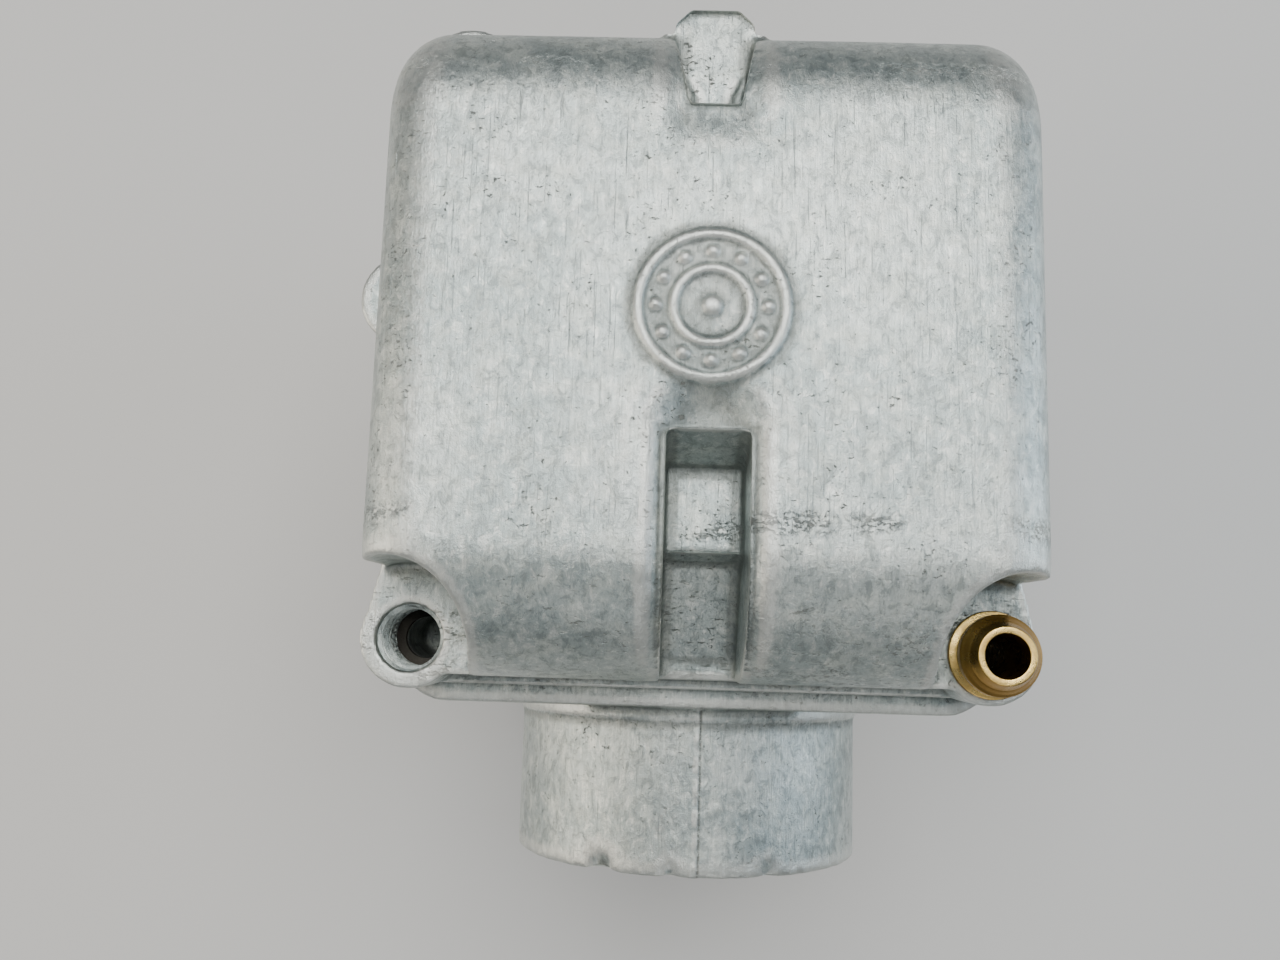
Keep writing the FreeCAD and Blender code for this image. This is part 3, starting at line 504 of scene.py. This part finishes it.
def shape_bowl(piece):
    """Dish the lead-in above the channel, roll its lips over and let the cast face waver."""
    mesh = piece.data
    points = points_of(mesh)
    normals = normals_of(mesh)
    x, y, z = points.T
    on_top = smooth_step(normals[:, 2], 0.2, 0.8) * (z > BOWL_TOP - 9 * MM)
    arch = np.hypot(x / (6.4 * MM), np.maximum(y - SHELF_Y + 1 * MM, 0) / (6.6 * MM))
    behind = smooth_step(y, SHELF_Y - 12 * MM, SHELF_Y - 2 * MM)
    dish = 1.7 * MM * (1 - smooth_step(arch, 0.25, 1.05)) * smooth_step(y, SHELF_Y - 2 * MM, SHELF_Y)
    lip = 0.9 * MM * (1 - smooth_step(np.abs(x), CHANNEL_HALF, CHANNEL_HALF + 2.0 * MM))
    halo = 0.16 * MM * np.exp(-((arch - 1.25) / 0.22) ** 2) * behind
    notch_lip = 0.7 * MM * (1 - smooth_step(np.abs(x), 2.6 * MM, 6.2 * MM))
    notch_lip = notch_lip * smooth_step(y, FLAT_REAR - 5 * MM, FLAT_REAR)
    wave = 0.05 * MM * (np.sin(x * 210 + 1.3) * np.cos(y * 165 + 0.4) + np.sin(x * 95 - y * 130))
    sunk = np.maximum(dish, np.maximum(lip * (y < SHELF_Y), notch_lip))
    points[:, 2] += (halo + wave - sunk) * on_top
    move_points(mesh, points)


def shape_body(piece):
    """Raise the die's parting-line ridge along the spigot, and press nicks into the spigot's end."""
    mesh = piece.data
    points = points_of(mesh)
    normals = normals_of(mesh)
    x, y, z = points.T
    outside = (np.hypot(x, z) > SPIGOT_RADIUS - 1.0 * MM) & (z > 10 * MM) & (y < 19 * MM)
    ragged = 0.5 + 0.3 * np.sin(y * 2100) + 0.2 * np.sin(y * 5300 + 1.0)
    line = np.exp(-((x - FLASH_X) / (0.3 * MM)) ** 2) * outside
    points += normals * (line * ragged * 0.14 * MM)[:, None]
    nicks = ((0.3, 118, 1.5, 0.7), (0.2, 96, 0.9, 0.4), (0.5, 66, 1.1, 0.3))
    for along, angle, reach, depth in nicks:
        turn = math.radians(angle)
        centre = np.array([SPIGOT_RADIUS * math.cos(turn), along * MM, SPIGOT_RADIUS * math.sin(turn)])
        away = np.linalg.norm(points - centre, axis=1) / (reach * MM)
        points -= normals * (depth * MM * np.exp(-away ** 2))[:, None]
    move_points(mesh, points)


def thread_mesh(centre, radius, pitch, depth, bottom, top, segments=48):
    """Helical ridge of an internal thread, its root sunk into the wall."""
    made = bmesh.new()
    turns = (top - bottom) / pitch
    steps = int(turns * segments)
    root = radius + 0.06 * MM
    half = pitch * 0.46
    rows = []
    for i in range(steps + 1):
        angle = math.tau * i / segments
        middle = bottom + pitch * i / segments
        fade = min(1.0, i / (segments * 0.5), (steps - i) / (segments * 0.5))
        crest = radius - depth * fade + 0.02 * MM
        direction = Vector((math.cos(angle), math.sin(angle), 0))
        section = ((root, -half), (crest, -half * 0.18), (crest, half * 0.18), (root, half))
        rows.append([
            made.verts.new(Vector(centre) + direction * reach + Vector((0, 0, middle + lift)))
            for reach, lift in section])
    for low, high in zip(rows[:-1], rows[1:]):
        for k in range(4):
            after = (k + 1) % 4
            made.faces.new((low[k], low[after], high[after], high[k]))
    made.faces.new(rows[0])
    made.faces.new(list(reversed(rows[-1])))
    bmesh.ops.recalc_face_normals(made, faces=made.faces)
    mesh = bpy.data.meshes.new("thread")
    made.to_mesh(mesh)
    made.free()
    return mesh


def nipple_mesh():
    """Brass hose nipple: base ring, neck, barb, taper and a bored end."""
    profile = [
        (2.30, 1.0), (2.95, 1.0), (2.95, 9.0), (4.60, 9.0), (4.65, 9.25), (4.65, 9.75), (3.80, 9.9),
        (3.60, 10.3), (3.60, 11.4), (4.25, 11.6), (4.25, 12.6), (3.95, 12.9), (3.60, 13.4),
        (3.50, 13.5), (3.35, 13.8), (3.00, 14.75), (2.90, 14.8), (2.30, 14.8),
    ]
    scaled = [(radius * MM, height * MM) for radius, height in profile]
    foot = (NIPPLE_AT.x, NIPPLE_AT.y, BOWL_JOINT)
    return lathe(rounded(scaled, 0.12 * MM), foot, (0, 0, 1), 128)


# ---- finishes, by the record's material slots --------------------------------

zinc = cast_zinc()
brass = machined("brass", (0.80, 0.56, 0.17), (0.36, 0.20, 0.05), 0.20, tarnish=0.75)
zinc_steel = machined("zinc_steel", (0.62, 0.60, 0.52), (0.34, 0.33, 0.28), 0.28)
shaft_steel = machined("shaft_steel", (0.56, 0.57, 0.58), (0.30, 0.31, 0.32), 0.22)
spring_steel = machined("spring_steel", (0.46, 0.47, 0.49), (0.20, 0.20, 0.21), 0.26)
aluminium = machined("aluminium", (0.76, 0.77, 0.78), (0.50, 0.51, 0.52), 0.24)
piston_plastic = moulded("piston_plastic", (0.035, 0.035, 0.037), (0.016, 0.016, 0.018),
                         0.36, 3.0, 0.02 * MM)
float_foam = moulded("float_foam", (0.055, 0.050, 0.045), (0.018, 0.017, 0.016), 0.72, 2.2, 0.12 * MM)
rubber = moulded("rubber", (0.030, 0.030, 0.031), (0.012, 0.012, 0.013), 0.62, 4.0, 0.03 * MM)
gasket_paper = moulded("gasket_paper", (0.115, 0.105, 0.085), (0.050, 0.046, 0.038),
                       0.78, 5.0, 0.04 * MM)
# The nipple's flank colour is painted shade: faces that don't look up are darkened.
nipple_brass = machined("nipple_brass", (0.90, 0.66, 0.24), (0.50, 0.30, 0.08), 0.20, tarnish=0.6,
                        side_shade=(0.30, 0.165, 0.035))
FINISHES = {
    "cast_zinc": zinc, "brass": brass, "zinc_steel": zinc_steel, "shaft_steel": shaft_steel,
    "spring_steel": spring_steel, "aluminium": aluminium, "piston_plastic": piston_plastic,
    "float_foam": float_foam, "rubber": rubber, "gasket_paper": gasket_paper,
}

# ---- the pieces that stand for CAD nodes ---------------------------------------

bowl_voxel = 0.30 * MM
body_voxel = 0.40 * MM
bowl = cast_copy("float_bowl", "cast_bowl", bowl_voxel, 5, date_dial() + [tongue_web()])
shape_bowl(bowl)
body = cast_copy("carb_body", "cast_body", body_voxel, 4)
shape_body(body)
cover = cast_copy("chamber_cover", "cast_cover", body_voxel, 4)
starter_cap = cast_copy("starter_cover", "cast_starter_cover", body_voxel, 2)
for piece in (bowl, body, cover, starter_cap):
    mark_edges(piece)
    shade_smooth(piece.data, 60)
    piece.data.materials.clear()
    piece.data.materials.append(zinc)

thread = add_object("port_thread", thread_mesh(
    PORT_AT, PORT_RADIUS + 0.22 * MM, 0.6 * MM, 0.50 * MM, 1.0 * MM, PORT_DEPTH + 0.7 * MM))
nipple = add_object("turned_nipple", nipple_mesh())
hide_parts("hose_nipple")
for piece, slot, finish in ((thread, "cast_zinc", zinc), (nipple, "brass", nipple_brass)):
    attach(piece, "housing")
    shade_smooth(piece.data)
    piece.data.materials.append(finish)
# Upward share of each point's normal, which sets where the nipple's painted side shade falls.
upright = nipple.data.attributes.new("upright", "FLOAT", "POINT")
upright.data.foreach_set("value", np.clip(normals_of(nipple.data)[:, 2], 0, 1).astype(np.float32))

# ---- CAD pieces shown as they are ---------------------------------------------

slot_of = {entry["node"]: entry["material_slot"] for entry in frame["record"]["subparts"]}
for name, item in nodes.items():
    item.data.materials.clear()
    item.data.materials.append(FINISHES[slot_of[name]])
    shade_smooth(item.data, 30)

# ---- the piston's spring, a copy standing in for the CAD node ----

spring = add_object("coiled_spring", nodes["piston_spring"].data.copy())
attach(spring, "housing")
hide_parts("piston_spring")
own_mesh(spring)

# ---- floor, light and camera ----------------------------------------------------

def make_floor():
    mesh = bpy.data.meshes.new("floor")
    corners = [(-FLOOR_HALF, -FLOOR_HALF, 0), (FLOOR_HALF, -FLOOR_HALF, 0),
               (FLOOR_HALF, FLOOR_HALF, 0), (-FLOOR_HALF, FLOOR_HALF, 0)]
    mesh.from_pydata(corners, [], [(0, 1, 2, 3)])
    floor = add_object("floor", mesh)
    floor.location.z = cad_box[0].z
    finish = Finish("floor")
    finish.finish((0.62, 0.62, 0.61), 0.0, 0.9)
    mesh.materials.append(finish.material)


def softbox(name, place, size, power, colour):
    light = bpy.data.lights.new(name, "AREA")
    light.shape = "RECTANGLE"
    light.size, light.size_y = size
    light.energy = power
    light.color = colour
    lamp = bpy.data.objects.new(name, light)
    bpy.context.scene.collection.objects.link(lamp)
    lamp.location = place
    lamp.rotation_euler = (LIT_POINT - Vector(place)).to_track_quat("-Z", "Y").to_euler()


def make_world():
    world = bpy.data.worlds.new("studio")
    bpy.context.scene.world = world
    world.use_nodes = True
    background = world.node_tree.nodes["Background"]
    background.inputs["Color"].default_value = (0.72, 0.78, 0.84, 1.0)
    background.inputs["Strength"].default_value = 0.20


make_floor()
make_world()
softbox("overhead", (0.02, 0.25, 0.60), (0.50, 0.36), 4.0, (1.0, 0.985, 0.96))
softbox("left_window", (-0.50, 0.0, 0.20), (0.30, 0.45), 1.6, (1.0, 0.90, 0.78))
softbox("right_window", (0.55, 0.10, 0.12), (0.25, 0.45), 1.6, (0.80, 0.90, 1.0))
softbox("front_window", (0.05, -0.42, 0.42), (0.30, 0.20), 0.55, (1.0, 0.98, 0.95))

camera_data = bpy.data.cameras.new("camera")
camera_data.sensor_width = 36.0
camera_data.lens = 30.48
camera_data.clip_start = 0.001
camera = bpy.data.objects.new("camera", camera_data)
camera.location = (-4.5 * MM, 27.4 * MM, 150.0 * MM)
camera.rotation_euler = Euler([math.radians(angle) for angle in (8.07, 0.86, 1.72)])
bpy.context.scene.collection.objects.link(camera)
bpy.context.scene.camera = camera
